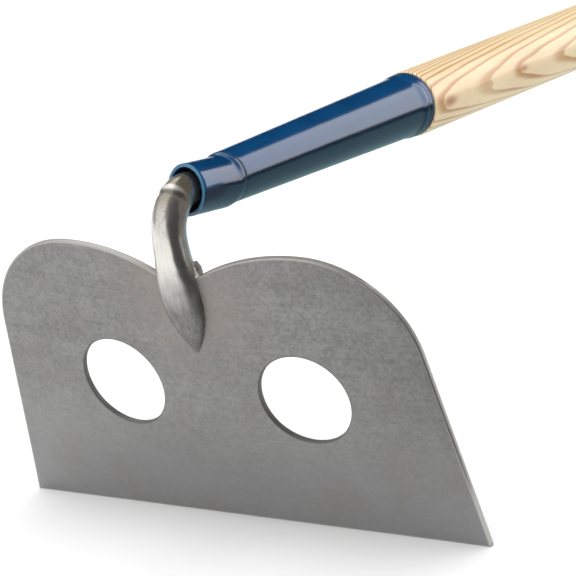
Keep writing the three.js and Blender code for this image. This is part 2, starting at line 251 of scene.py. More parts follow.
def lean():
    """How far the blade leans when the hoe lies down: its drawn handle tilt less the handle's
    slope in the record."""
    axis = record["mounts"][0]["axis"]
    slope = math.atan2(-axis[2], axis[1])
    return bpy.context.scene.hoe_ferrule.tilt - slope


def placement():
    """The matrix from the blade's frame to the ground's: a turn by lean() about x, then a move
    that puts the cutting edge's front on the CAD blade's lowest line and its back on the CAD
    blade's rearmost one."""
    blade = bpy.context.scene.hoe_blade
    low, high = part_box("blade")
    turn = lean()
    edge = blade.ridge_fall * (blade.width / 2 - blade.ridge_rounding)
    back = high[1] - (edge + blade.thickness) * math.cos(turn)
    rise = low[2] - edge * math.sin(turn)
    return Matrix.Translation((0.0, back, rise)) @ Matrix.Rotation(turn, 4, "X")


def laid(points):
    """Points of the blade's frame, moved to the ground's frame."""
    matrix = np.array(placement())
    return np.asarray(points) @ matrix[:3, :3].T + matrix[:3, 3]


def notch_height():
    blade = bpy.context.scene.hoe_blade
    return float(top_edge(blade, 0.0))


def handle_frame():
    """Start, direction and upward direction of the handle's axis, in the blade's frame."""
    ferrule = bpy.context.scene.hoe_ferrule
    cos, sin = math.cos(ferrule.tilt), math.sin(ferrule.tilt)
    start = np.array((0.0, ferrule.axis_setback, notch_height() + ferrule.axis_height))
    return start, np.array((0.0, cos, -sin)), np.array((0.0, sin, cos))


def on_axis(along, raised=0.0):
    start, axis, up = handle_frame()
    return start + np.multiply.outer(along, axis) + np.multiply.outer(raised, up)


# ---- Mesh helpers ----


def smooth(value, low, high):
    """Eased step from 0 at low to 1 at high: 3t^2 - 2t^3."""
    t = np.clip((value - low) / (high - low), 0.0, 1.0)
    return t * t * (3.0 - 2.0 * t)


def grid_faces(rows, columns, wrap_rows=False, wrap_columns=True):
    """Four-cornered faces of a grid of points numbered row by row; a wrapped side joins its last
    line to its first."""
    row = np.arange(rows if wrap_rows else rows - 1)[:, None]
    column = np.arange(columns if wrap_columns else columns - 1)[None, :]
    next_row = (row + 1) % rows
    next_column = (column + 1) % columns
    corners = (
        row * columns + column,
        next_row * columns + column,
        next_row * columns + next_column,
        row * columns + next_column,
    )
    return np.stack([np.broadcast_to(c, (row.size, column.size)).ravel() for c in corners], 1)


def rings(centres, across, upward, around):
    """A ring for each centre: centre + cos(a) across + sin(a) upward, a going once round."""
    a = np.linspace(0.0, 2.0 * np.pi, around, endpoint=False)[None, :, None]
    grid = centres[:, None] + np.cos(a) * across[:, None] + np.sin(a) * upward[:, None]
    return grid.reshape(-1, 3)


def build(name, node, points, faces, material, values=None):
    """A closed mesh from the points, with doubles merged and faces outwards, that stands for a
    CAD node, rides with the hoe and wears the material."""
    mesh = bpy.data.meshes.new(name)
    mesh.from_pydata(laid(points), [], faces)
    for key, numbers in (values or {}).items():
        layer = mesh.attributes.new(key, "FLOAT", "POINT")
        layer.data.foreach_set("value", np.ascontiguousarray(numbers, dtype=np.float32))
    shape = bmesh.new()
    shape.from_mesh(mesh)
    bmesh.ops.remove_doubles(shape, verts=shape.verts, dist=MERGE)
    loose = [vertex for vertex in shape.verts if not vertex.link_faces]
    bmesh.ops.delete(shape, geom=loose, context="VERTS")
    bmesh.ops.recalc_face_normals(shape, faces=shape.faces)
    shape.to_mesh(mesh)
    shape.free()
    mesh.shade_smooth()
    mesh.materials.append(material)
    piece = bpy.data.objects.new(name, mesh)
    bpy.context.collection.objects.link(piece)
    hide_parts(node)
    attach(piece, BODY)
    return piece


# ---- Material helpers ----


class Wire:
    """A node's output. Arithmetic on it adds Math nodes to its finish."""

    def __init__(self, finish, socket):
        self.finish = finish
        self.socket = socket

    def maths(self, operation, *values):
        inputs = dict(enumerate(values))
        return self.finish.node("ShaderNodeMath", {"operation": operation}, inputs)

    def __add__(self, other):
        return self.maths("ADD", self, other)

    def __radd__(self, other):
        return self.maths("ADD", other, self)

    def __sub__(self, other):
        return self.maths("SUBTRACT", self, other)

    def __rsub__(self, other):
        return self.maths("SUBTRACT", other, self)

    def __mul__(self, other):
        return self.maths("MULTIPLY", self, other)

    def __rmul__(self, other):
        return self.maths("MULTIPLY", other, self)

    def __truediv__(self, other):
        return self.maths("DIVIDE", self, other)

    def __rtruediv__(self, other):
        return self.maths("DIVIDE", other, self)

    def part(self):
        """The part after the decimal point."""
        return self.maths("FRACT", self)

    def ease(self, low, high, start=0.0, end=1.0):
        """Eased step from start at low to end at high."""
        settings = {"interpolation_type": "SMOOTHSTEP"}
        inputs = {0: self, 1: low, 2: high, 3: start, 4: end}
        return self.finish.node("ShaderNodeMapRange", settings, inputs)

    def fade(self, low, high):
        """Eased step from 1 at low to 0 at high."""
        return self.ease(low, high, start=1.0, end=0.0)


class Finish:
    """A material whose nodes are added by node(), with one Principled surface."""

    def __init__(self, name):
        self.material = bpy.data.materials.new(name)
        self.material.use_nodes = True
        self.tree = self.material.node_tree
        self.tree.nodes.clear()
        self.surface = self.tree.nodes.new("ShaderNodeBsdfPrincipled")
        output = self.tree.nodes.new("ShaderNodeOutputMaterial")
        self.tree.links.new(self.surface.outputs[0], output.inputs[0])
        self.place = self.node("ShaderNodeTexCoord", output="Object")

    def node(self, kind, settings=None, inputs=None, output=0):
        """Adds a node: its settings come first, then the values or links of its sockets."""
        node = self.tree.nodes.new(kind)
        for key, value in (settings or {}).items():
            setattr(node, key, value)
        for key, value in (inputs or {}).items():
            self.feed(node.inputs[key], value)
        return Wire(self, node.outputs[output])

    def feed(self, socket, value):
        if isinstance(value, Wire):
            self.tree.links.new(value.socket, socket)
        elif socket.type == "RGBA":
            socket.default_value = (*value, 1.0)
        else:
            socket.default_value = value

    def wear(self, **sockets):
        """Feeds the surface's sockets; base_color stands for Base Color."""
        for key, value in sockets.items():
            words = (word.upper() if word == "ior" else word.title() for word in key.split("_"))
            self.feed(self.surface.inputs[" ".join(words)], value)
        return self.material

    def stretch(self, vector, scale):
        inputs = {0: vector, 1: scale}
        return self.node("ShaderNodeVectorMath", {"operation": "MULTIPLY"}, inputs)

    def away(self, vector, point):
        """Distance from a point."""
        inputs = {0: vector, 1: point}
        return self.node("ShaderNodeVectorMath", {"operation": "DISTANCE"}, inputs, "Value")

    def noise(self, vector, scale, detail=3.0, roughness=0.5, distortion=0.0):
        inputs = {
            "Vector": vector, "Scale": scale, "Detail": detail,
            "Roughness": roughness, "Distortion": distortion,
        }
        return self.node("ShaderNodeTexNoise", None, inputs)

    def streaks(self, vector, scales, **more):
        """Noise with its own scale along each axis."""
        return self.noise(self.stretch(vector, scales), 1.0, **more)

    def cells(self, vector, scale):
        """Distance to the nearest of a scatter of points."""
        inputs = {"Vector": vector, "Scale": scale}
        return self.node("ShaderNodeTexVoronoi", None, inputs)

    def mix(self, factor, first, second):
        settings = {"data_type": "RGBA"}
        return self.node("ShaderNodeMix", settings, {0: factor, 6: first, 7: second}, 2)

    def axes(self, vector):
        """The x, y and z of a vector."""
        node = self.tree.nodes.new("ShaderNodeSeparateXYZ")
        self.feed(node.inputs[0], vector)
        return [Wire(self, socket) for socket in node.outputs]

    def bump(self, height, distance, strength=1.0, under=None):
        inputs = {"Strength": strength, "Distance": distance, "Height": height}
        if under is not None:
            inputs["Normal"] = under
        return self.node("ShaderNodeBump", None, inputs)

    def stored(self, name):
        """A number kept on the mesh."""
        settings = {"attribute_name": name, "attribute_type": "GEOMETRY"}
        return self.node("ShaderNodeAttribute", settings, None, "Fac")

    def bench(self):
        """Coordinates in the blade's frame: the object's, turned and moved back."""
        matrix = placement()
        inputs = {
            "Vector": self.place,
            "Location": tuple(matrix.translation),
            "Rotation": tuple(matrix.to_euler()),
        }
        return self.node("ShaderNodeMapping", {"vector_type": "TEXTURE"}, inputs)

    def along_handle(self):
        """Coordinates in the handle's frame: x to the right, y along it, z square to both."""
        ferrule = bpy.context.scene.hoe_ferrule
        inputs = {
            "Vector": self.place,
            "Location": tuple(laid(handle_frame()[0])),
            "Rotation": (lean() - ferrule.tilt, 0.0, 0.0),
        }
        return self.node("ShaderNodeMapping", {"vector_type": "TEXTURE"}, inputs)


# ---- Blade ----


def face_depth(blade, x, z):
    """How far the front face lies behind the ridge: fall (hypot(x, rounding) - rounding), which
    eases to its value at the corners as z goes down to the cutting edge."""
    roof = blade.ridge_fall * (np.hypot(x, blade.ridge_rounding) - blade.ridge_rounding)
    edge = blade.ridge_fall * (blade.width / 2 - blade.ridge_rounding)
    return edge + (roof - edge) * smooth(z, 0.0, blade.ridge_fade)


def blade_centres(blade):
    """Centres of the lobe's arc and of the wider shoulder arc, which meet smoothly."""
    lobe = np.array((blade.lobe_spacing / 2, blade.lobe_height))
    reach = blade.shoulder_radius - blade.lobe_radius
    direction = np.array((math.cos(blade.shoulder_start), math.sin(blade.shoulder_start)))
    return lobe, lobe - reach * direction


def top_edge(blade, x):
    """Height of the top edge near the notch: the shoulder arc's upper half."""
    shoulder = blade_centres(blade)[1]
    reach = shoulder[0] - np.abs(x)
    return shoulder[1] + np.sqrt(blade.shoulder_radius**2 - reach**2)


def run(start, end, count):
    """Evenly spaced points from start up to, and without, the end."""
    t = np.linspace(0.0, 1.0, count, endpoint=False)[:, None]
    return np.asarray(start) + (np.asarray(end) - np.asarray(start)) * t


def arc(centre, radius, start, end, count):
    """centre + radius (cos a, sin a), a going evenly from start up to, and without, the end."""
    a = np.linspace(start, end, count, endpoint=False)
    return np.stack((centre[0] + radius * np.cos(a), centre[1] + radius * np.sin(a)), 1)


def to_line(points, line):
    """Distance from each point to a line of straight pieces: the least, over the pieces, of the
    distance to the nearest place on that piece."""
    start, piece = line[:-1].astype(np.float32), np.diff(line, axis=0).astype(np.float32)
    offset = points.astype(np.float32)[:, None] - start
    along = (offset * piece).sum(-1) / (piece * piece).sum(-1)
    offset -= np.clip(along, 0.0, 1.0)[..., None] * piece
    return np.sqrt((offset * offset).sum(-1).min(axis=1)).astype(float)


SEAM, BOTTOM, SIDE, LOBE, SHOULDER = 80, 110, 70, 140, 60  # points on each stretch of an outline
FACE_RINGS = 30  # rings across a face, from the hole to the outline
EASED = 0.3  # where the middle ring of a rounded edge lies, as a share of its rounding
SUPPORT = 0.0012  # first ring of the flat face, in from an edge


def half_outline(blade, inset):
    """Right half of the heart, set in by inset: down the centre line, along the cutting edge, up
    the side that touches the lobe's circle, round the lobe and along the shoulder to the notch."""
    lobe, shoulder = blade_centres(blade)
    radius = blade.lobe_radius - inset
    wide = blade.shoulder_radius - inset
    corner = np.array((blade.width / 2 - inset, inset))
    away = corner - lobe
    side_angle = math.atan2(away[1], away[0]) + math.acos(radius / np.hypot(*away))
    notch_angle = math.acos(-shoulder[0] / wide)
    notch = np.array((0.0, shoulder[1] + wide * math.sin(notch_angle)))
    touch = lobe + radius * np.array((math.cos(side_angle), math.sin(side_angle)))
    return np.concatenate((
        run(notch, (0.0, inset), SEAM),
        run((0.0, inset), corner, BOTTOM),
        run(corner, touch, SIDE),
        arc(lobe, radius, side_angle, blade.shoulder_start, LOBE),
        arc(shoulder, wide, blade.shoulder_start, notch_angle, SHOULDER),
    ))


def blade_surface(blade):
    """One half is a loop of rings, each running from the hole's circle to the heart's outline:
    over the front face, round the sheared edge, back over the rear face and through the hole.
    The other half mirrors it. Each point also keeps its distance to the outline and to the
    hole."""
    hole = np.array((blade.hole_spacing / 2, blade.hole_height))
    soft = blade.edge_rounding
    outline = half_outline(blade, 0.0)
    ray = outline - hole
    ray /= np.linalg.norm(ray, axis=1, keepdims=True)
    inner = hole + (blade.hole_radius + SUPPORT) * ray
    outer = half_outline(blade, SUPPORT)
    between = [inner + (outer - inner) * t for t in np.linspace(0.0, 1.0, FACE_RINGS)]
    front = [
        (hole + blade.hole_radius * ray, soft),
        (hole + (blade.hole_radius + soft * EASED) * ray, soft * EASED),
        (hole + (blade.hole_radius + soft) * ray, 0.0),
        *((ring, 0.0) for ring in between),
        (half_outline(blade, soft), 0.0),
        (half_outline(blade, soft * EASED), soft * EASED),
        (outline, soft),
    ]
    back = [(ring, blade.thickness - depth) for ring, depth in reversed(front)]
    flat = np.concatenate([ring for ring, _ in front + back])
    depth = np.concatenate([np.full(len(outline), depth) for _, depth in front + back])
    y = face_depth(blade, flat[:, 0], flat[:, 1]) + depth
    points = np.stack((flat[:, 0], y, flat[:, 1]), 1)
    faces = grid_faces(len(front + back), len(outline), wrap_rows=True)
    on_seam = (np.abs(points[faces, 0]) < MERGE).all(axis=1)
    faces = faces[~on_seam]
    one_side = flat[: len(front) * len(outline)]
    border = to_line(one_side, np.concatenate((outline[SEAM:], outline[:1])))
    to_hole = np.linalg.norm(one_side - hole, axis=1) - blade.hole_radius
    both_faces = [
        np.concatenate((d.reshape(len(front), -1), d.reshape(len(front), -1)[::-1])).ravel()
        for d in (border, np.maximum(to_hole, 0.0))
    ]
    both = np.concatenate((points, points * (-1.0, 1.0, 1.0)))
    all_faces = np.concatenate((faces, faces[:, ::-1] + len(points)))
    edge, bore = (np.concatenate((d, d)) for d in both_faces)
    return both, all_faces, {"edge": edge, "bore": bore}


def rolled_steel(blade):
    """Bare rolled plate: grey with cloudy mottling, fine grit, faint drag marks down the face,
    brown heat tint round the weld and edges rubbed bright; painted light lifts the grey towards
    the cutting edge and painted shade darkens the walls of the mixing holes."""
    finish = Finish("Rolled steel")
    here = finish.bench()
    clouds = finish.noise(here, scale=38.0, detail=4.0, roughness=0.62, distortion=0.4)
    patches = finish.noise(here, scale=130.0, detail=3.0, roughness=0.6)
    grit = finish.noise(here, scale=1100.0, detail=2.0, roughness=0.7)
    drag = finish.streaks(here, (420.0, 420.0, 14.0), detail=3.0, roughness=0.6)
    cross = finish.streaks(here, (9.0, 60.0, 520.0), detail=2.0, roughness=0.5, distortion=0.3)
    scratch = drag.ease(0.64, 0.72) * clouds.ease(0.4, 0.6) * 0.5
    mottle = finish.noise(here, scale=430.0, detail=3.0, roughness=0.62)
    shade = clouds.ease(0.3, 0.72) * 0.26 + patches.ease(0.3, 0.7) * 0.18
    shade = shade + mottle.ease(0.34, 0.66) * 0.36 + grit.ease(0.34, 0.66) * 0.26
    shade = shade + cross.ease(0.35, 0.7) * 0.14
    grey = finish.mix(shade, blade.steel, blade.dark_steel)
    rise = finish.axes(here)[2]
    # Painted light: the grey is lifted towards the cutting edge.
    cutting_edge_light_share = rise.ease(0.0, 0.11, 0.78, 0.0)
    grey = finish.mix(cutting_edge_light_share, grey, blade.cutting_edge_painted_light)
    notch = (0.0, 0.0, notch_height() - 0.004)
    heat = finish.away(here, notch).fade(0.012, 0.05) * patches.ease(0.2, 0.6)
    tinted = finish.mix(heat * 0.75, grey, blade.warm_steel)
    blush = clouds.ease(0.55, 0.7) * 0.35
    tinted = finish.mix(blush, tinted, blade.warm_steel)
    edge = finish.stored("edge")
    rubbed = edge.fade(0.0003, 0.0011) * grit.ease(0.25, 0.55, 0.55, 1.0)
    bright = finish.mix(rubbed * 0.7, tinted, blade.rubbed_steel)
    bright = finish.mix(scratch * 0.5, bright, blade.scratched_steel)
    # Painted shade: the walls of the mixing holes are darkened.
    hole_wall_shade = finish.stored("bore").fade(0.0001, 0.0010)
    bright = finish.mix(hole_wall_shade * 0.6, bright, blade.hole_wall_painted_shade)
    rough = 0.40 + grit * 0.16 + clouds * 0.10 - rubbed * 0.12
    waves = finish.bump(finish.noise(here, scale=16.0, detail=2.0), distance=0.0009, strength=0.5)
    relief = grit * 0.5 + patches * 0.5 - scratch * 0.6
    normal = finish.bump(relief, distance=0.00007, strength=0.6, under=waves)
    return finish.wear(base_color=bright, metallic=0.86, roughness=rough, normal=normal)


# ---- Swan neck ----


MOUTH_RISE = 0.0003  # bar's middle above the collar's, at the mouth
BEND_POINTS = 6


def neck_path(blade, neck, ferrule):
    """Guide points of the bar in the plane x = 0, from the tang's end to the forged tip: on the
    axis in the wood, round a circular bend, then down the blade's face."""
    _, axis, up = handle_frame()
    notch = notch_height()
    tang_end = ferrule.mouth + neck.tang_length
    cone_start = ferrule.mouth + ferrule.collar
    pivot = (ferrule.mouth + cone_start) / 2
    rise = (pivot - ferrule.mouth) * math.tan(ferrule.collar_tilt) + MOUTH_RISE
    out = -axis * math.cos(ferrule.collar_tilt) + up * math.sin(ferrule.collar_tilt)
    start = on_axis(ferrule.mouth, rise) - out * neck.bend_inset
    inward = np.array((0.0, -out[2], out[1]))
    hub = start + inward * neck.bend_radius
    turn = math.pi / 2 - neck.bend_exit + ferrule.tilt + ferrule.collar_tilt
    a = np.linspace(0.0, turn, BEND_POINTS)[:, None]
    bend = hub + neck.bend_radius * (-inward * np.cos(a) + out * np.sin(a))
    halfway = cone_start * 0.4 + tang_end * 0.6
    return np.concatenate((
        on_axis(np.array((tang_end, halfway, cone_start + neck.radius))),
        bend,
        [(0.0, neck.radius * 0.1, notch + neck.swell_reach / 2)],
        [(0.0, 0.0, notch)],
        [(0.0, 0.0, notch - neck.point_length / 2)],
        [(0.0, neck.tip_radius / 2, notch - neck.point_length)],
    ))


def centripetal(points, fine=60):
    """A centripetal Catmull-Rom curve through the points: between two of them, a cubic whose end
    slopes come from neighbours weighted by the square root of their distances."""
    ends = (2 * points[:1] - points[1:2], 2 * points[-1:] - points[-2:-1])
    p = np.concatenate((ends[0], points, ends[1]))
    gap = np.sqrt(np.linalg.norm(np.diff(p, axis=0), axis=1))[:, None]
    before, here, after = gap[:-2], gap[1:-1], gap[2:]
    p0, p1, p2, p3 = p[:-3], p[1:-2], p[2:-1], p[3:]
    slope1 = (p1 - p0) / before - (p2 - p0) / (before + here) + (p2 - p1) / here
    slope2 = (p2 - p1) / here - (p3 - p1) / (here + after) + (p3 - p2) / after
    t = np.linspace(0.0, 1.0, fine, endpoint=False)[None, :, None]
    a, b = p1[:, None], p2[:, None]
    m1, m2 = (slope1 * here)[:, None], (slope2 * here)[:, None]
    curve = (
        a * (2 * t**3 - 3 * t**2 + 1) + m1 * (t**3 - 2 * t**2 + t)
        + b * (3 * t**2 - 2 * t**3) + m2 * (t**3 - t**2)
    )
    return np.concatenate((curve.reshape(-1, 3), points[-1:]))


NECK_RINGS, TIP_RINGS, NECK_AROUND = 240, 10, 96
TAPER_ACROSS, TAPER_DEEP = 2.6, 1.7  # how full the point stays, seen from the front and the side
HAMMERED, HAMMER_WAVES = 0.00010, (610.0, 233.0)  # unevenness left by the hammer
SINK_START, SINK_END = -0.0005, 0.001  # below the blade's top edge, where the bar meets the plate


def neck_surface(blade, neck, ferrule):
    """Rings along the bar's path: round in the wood, swelling over the notch and drawn to a point
    by 1 - (1 - t)^k, closed at both ends. A groove behind a low bulge, each exp(-(d / width)^2) at
    a distance d, marks the outer side of the bend; both are kept on the mesh. Below the blade's
    top edge the bar goes no deeper than the middle of the plate."""
    notch = notch_height()
    start, axis, _ = handle_frame()
    path = centripetal(neck_path(blade, neck, ferrule))
    step = np.linalg.norm(np.diff(path, axis=0), axis=1)
    far = np.concatenate(((0.0,), np.cumsum(step)))
    places = np.linspace(0.0, far[-1], NECK_RINGS)
    cap = np.sin(np.linspace(0.0, np.pi / 2, TIP_RINGS))[1:-1]
    tip = neck.tip_radius
    places = np.concatenate((places, far[-1] + tip * cap))
    inside = np.minimum(places, far[-1])
    centre = np.stack([np.interp(inside, far, path[:, k]) for k in range(3)], 1)
    slope = np.gradient(centre[:NECK_RINGS], inside[:NECK_RINGS], axis=0)
    slope /= np.linalg.norm(slope, axis=1, keepdims=True)
    slope = np.concatenate((slope, np.repeat(slope[-1:], len(cap), 0)))
    centre += slope * (places - inside)[:, None]
    into_wood = (centre - start) @ axis - ferrule.mouth
    slim = np.clip(into_wood / neck.tang_length, 0.0, 1.0)
    radius = neck.radius + (neck.tang_end_radius - neck.radius) * slim
    above = np.clip((centre[:, 2] - notch + neck.point_length) / neck.point_length, 0.0, 1.0)
    swollen = smooth(notch + neck.swell_reach - centre[:, 2], 0.0, neck.swell_reach)
    width = tip + (radius + neck.swell * swollen - tip) * (1.0 - (1.0 - above) ** TAPER_ACROSS)
    depth = tip + (radius - tip) * (1.0 - (1.0 - above) ** TAPER_DEEP)
    from_mouth = places - far[np.argmax((path - start) @ axis < ferrule.mouth)]
    groove = np.exp(-(((from_mouth - neck.groove_place) / neck.groove_width) ** 2))
    bulge = np.exp(-(((from_mouth - neck.bulge_place) / neck.bulge_width) ** 2))
    pinch = groove * neck.groove_depth - bulge * neck.bulge_height
    short, long = HAMMER_WAVES
    hammered = HAMMERED * np.sin(places * short) * np.sin(places * long + 1.0)
    round_off = np.sqrt(np.clip(1.0 - ((places - inside) / tip) ** 2, 0.0, 1.0))
    round_off[-1] = 0.0
    width = (width + hammered) * round_off
    depth = (depth - hammered) * round_off
    width[0] = depth[0] = 0.0
    normal = np.cross(ACROSS, slope)
    a = np.linspace(0.0, 2.0 * np.pi, NECK_AROUND, endpoint=False)
    front = np.clip(-np.sin(a), 0.0, 1.0)[None, :]
    thin = 1.0 - pinch[:, None] / np.maximum(width, tip)[:, None] * front
    across = (width[:, None] * np.cos(a) * thin)[..., None] * ACROSS
    deep = (depth[:, None] * np.sin(a) * thin)[..., None] * normal[:, None]
    points = (centre[:, None] + across + deep).reshape(-1, 3)
    x, y, z = points.T
    limit = face_depth(blade, x, z) + blade.thickness / 2
    below = smooth(top_edge(blade, x) - z, SINK_START, SINK_END)
    below *= np.repeat(centre[:, 1] < neck.radius * 1.5, NECK_AROUND)
    points[:, 1] = y - np.maximum(y - limit, 0.0) * below
    values = {
        "groove": (groove[:, None] * np.sqrt(front)).ravel(),
        "bulge": (bulge[:, None] * front).ravel(),
    }
    return points, grid_faces(len(centre), NECK_AROUND), values


def forged_steel(neck):
    """Ground forged bar: bright along its length with drawn scratches, dark scale in the low spots
    and down the point, brown heat tint near the ferrule, painted shade in the groove and a painted
    highlight on the bulge."""
    finish = Finish("Forged steel")
    here = finish.bench()
    clouds = finish.noise(here, scale=90.0, detail=4.0, roughness=0.6, distortion=0.3)
    grit = finish.noise(here, scale=1500.0, detail=2.0, roughness=0.6)
    drawn = finish.streaks(here, (900.0, 900.0, 60.0), detail=3.0, roughness=0.6)
    rise = finish.axes(here)[2]
    notch = notch_height()
    mouth = rise.ease(notch + 0.037, notch + 0.047)
    point = rise.fade(notch - 0.012, notch + 0.020)
    scale = clouds.ease(0.35, 0.75) * 0.22 + drawn.ease(0.4, 0.75) * 0.18 + point * 0.86
    steel = finish.mix(scale, neck.steel, neck.dark_steel)
    warm = finish.mix(mouth * 0.85, steel, neck.brown_steel)
    groove, bulge = finish.stored("groove"), finish.stored("bulge")
    # Painted shade in the groove.
    warm = finish.mix(groove.ease(0.2, 0.8) * 0.85, warm, neck.dark_steel)
    # Painted highlight on the bulge.
    warm = finish.mix(bulge.ease(0.3, 0.8) * 0.85, warm, neck.bulge_painted_highlight)
    rough = 0.17 + clouds * 0.10 + grit * 0.06 + point * 0.22 + bulge * 0.12
    relief = grit * 0.3 + drawn * 0.5 + clouds * 1.2
    normal = finish.bump(relief, distance=0.00012, strength=0.55)
    return finish.wear(base_color=warm, metallic=0.95, roughness=rough, normal=normal)


# ---- Welds ----


BEAD_ROWS, BEAD_AROUND = 49, 64
RIPPLE, RIPPLES, LUMP = 0.03, 15.0, 0.05


def bead_surface(centre, half, ripple_axis):
    """An egg: centre + half (sin v cos u, sin v sin u, cos v), swollen by ripples that run along
    one of its axes, as laid by a welder."""
    v = np.linspace(0.0, np.pi, BEAD_ROWS)[:, None]
    u = np.linspace(0.0, 2.0 * np.pi, BEAD_AROUND, endpoint=False)[None, :]
    egg = np.stack((np.sin(v) * np.cos(u), np.sin(v) * np.sin(u), np.cos(v) + 0.0 * u), -1)
    along = egg[..., ripple_axis]
    wave = np.sin(along * RIPPLES + 0.8 * egg[..., 1])
    ripple = 1.0 + RIPPLE * wave * np.sqrt(1.0 - along**2)
    lump = 1.0 + LUMP * np.sin(egg @ (4.0, 3.0, 5.0))
    points = np.asarray(centre) + egg * np.asarray(half) * (ripple * lump)[..., None]
    points[0] = points[0, :1]
    points[-1] = points[-1, :1]
    return points.reshape(-1, 3), grid_faces(BEAD_ROWS, BEAD_AROUND)


def weld_steel(weld):
    """Weld metal: bright ripples with oxide in their hollows."""
    finish = Finish("Weld bead")
    here = finish.bench()
    lumps = finish.noise(here, scale=420.0, detail=3.0, roughness=0.6)
    grit = finish.noise(here, scale=2200.0, detail=2.0, roughness=0.6)
    oxide = lumps.ease(0.45, 0.70) * 0.6 + grit.ease(0.5, 0.75) * 0.2
    base = finish.mix(oxide, weld.metal, weld.dark_metal)
    rough = 0.40 + oxide * 0.25
    normal = finish.bump(lumps + grit * 0.3, distance=0.00012, strength=0.5)
    return finish.wear(base_color=base, metallic=0.92, roughness=rough, normal=normal)


# ---- Ferrule ----


def cone_radius(neck, ferrule, handle, along):
    """Outside radius of the cone, a straight taper from the collar to the rim's flare."""
    start = neck.radius + ferrule.play + ferrule.wall + ferrule.cone_step
    end = handle.radius - handle.proud - ferrule.lip_flare
    cone_start = ferrule.mouth + ferrule.collar
    return start + (end - start) * (along - cone_start) / ferrule.cone


FERRULE_AROUND = 160
COLLAR_RINGS, CONE_RINGS, FLARE_RINGS = 10, 30, 8
CONE_RINGS_INSIDE, COLLAR_RINGS_INSIDE = 12, 6
EDGE = 0.0006  # rounding of the sleeve's two ends
END_GAP = 0.002  # from an end to the next whole ring
JOIN_START, JOIN_LENGTH, JOIN_RINGS = 0.0042, 0.005, 9  # collar eases into the cone
CREASE = 0.0016  # fold behind the cone's start
CREASE_PROFILE = ((-0.0003, 0.00005), (0.0, 0.00018), (0.0003, 0.00005), (0.0008, 0.0))
LINE_BEFORE = 0.0006  # rolled line, before the end of the flare
LINE_PROFILE = ((-0.0006, 0.2), (-0.0003, 0.8), (0.0, 1.0), (0.0003, 0.8), (0.0006, 0.2))
SWELL = 0.0001  # the rim behind the line


def ferrule_surface(neck, ferrule, handle):
    """A closed wall turned about the axis: out along the collar and cone to the rim, and back
    inside. Each ring has a place, a radius and a share of the collar's lean, which eases off
    where the collar runs into the cone. Towards the mouth the rings shear forward on their right
    side, by tan(skew) for each metre off centre."""
    _, axis, up = handle_frame()
    mouth = ferrule.mouth
    cone_start = mouth + ferrule.collar
    cone_end = cone_start + ferrule.cone
    rim = cone_end + ferrule.lip
    collar = neck.radius + ferrule.play + ferrule.wall
    bore = collar - ferrule.wall
    lip = handle.radius - handle.proud
    outside = [
        (mouth + EDGE, bore, 1.0), (mouth + EDGE * EASED, bore + EDGE * EASED, 1.0),
        (mouth, bore + EDGE, 1.0), (mouth, collar - EDGE, 1.0),
        (mouth + EDGE * EASED, collar - EDGE * EASED, 1.0), (mouth + EDGE, collar, 1.0),
    ]
    join = cone_start - JOIN_START
    for along in np.linspace(mouth + END_GAP, join, COLLAR_RINGS):
        outside.append((along, collar, 1.0))
    first = cone_radius(neck, ferrule, handle, join + JOIN_LENGTH)
    for t in np.linspace(0.0, 1.0, JOIN_RINGS)[1:]:
        ease = float(smooth(t, 0.0, 1.0))
        outside.append((join + JOIN_LENGTH * t, collar + (first - collar) * ease, 1.0 - ease))
    for offset, dip in CREASE_PROFILE:
        along = cone_start + CREASE + offset
        outside.append((along, cone_radius(neck, ferrule, handle, along) - dip, 0.0))
    for along in np.linspace(cone_start + 0.004, cone_end - 0.001, CONE_RINGS):
        outside.append((along, cone_radius(neck, ferrule, handle, along), 0.0))
    base = cone_radius(neck, ferrule, handle, cone_end)
    for t in np.linspace(0.0, 1.0, FLARE_RINGS):
        along = cone_end + (ferrule.lip_slope - LINE_BEFORE * 3.0) * t
        outside.append((along, base + (lip - base) * float(smooth(t, 0.0, 1.0)), 0.0))
    line = cone_end + ferrule.lip_slope - LINE_BEFORE
    for offset, dip in LINE_PROFILE:
        outside.append((line + offset, lip - ferrule.groove * dip, 0.0))
    outside += [
        (line + 0.001, lip, 0.0), (rim - END_GAP, lip + SWELL, 0.0),
        (rim - EDGE, lip + SWELL, 0.0), (rim - EDGE * 0.3, lip - EDGE * 0.25, 0.0),
        (rim, lip - EDGE * 0.9, 0.0),
    ]
    inner = [
        (along, cone_radius(neck, ferrule, handle, along) - ferrule.wall, 0.0)
        for along in np.linspace(rim, cone_start, CONE_RINGS_INSIDE)
    ]
    for along in np.linspace(cone_start - 0.003, mouth + END_GAP, COLLAR_RINGS_INSIDE):
        inner.append((along, bore, 1.0))
    along, radius, tilted = np.array(outside + inner).T
    pivot = (mouth + cone_start) / 2
    turn = ferrule.collar_tilt * tilted
    away = along - pivot
    run_axis = np.cos(turn)[:, None] * axis - np.sin(turn)[:, None] * up
    rise = np.sin(turn)[:, None] * axis + np.cos(turn)[:, None] * up
    centres = on_axis(np.full(len(along), pivot)) + away[:, None] * run_axis
    across = radius[:, None] * ACROSS
    points = rings(centres, across, radius[:, None] * rise, FERRULE_AROUND)
    askew = math.tan(ferrule.mouth_skew) * (1.0 - smooth(along, mouth, cone_start - 0.008))
    shear = np.repeat(askew[:, None] * run_axis, FERRULE_AROUND, axis=0)
    points -= points[:, :1] * shear
    from_mouth = np.repeat(along - mouth, FERRULE_AROUND)
    faces = grid_faces(len(along), FERRULE_AROUND, wrap_rows=True)
    return points, faces, {"from_mouth": from_mouth}


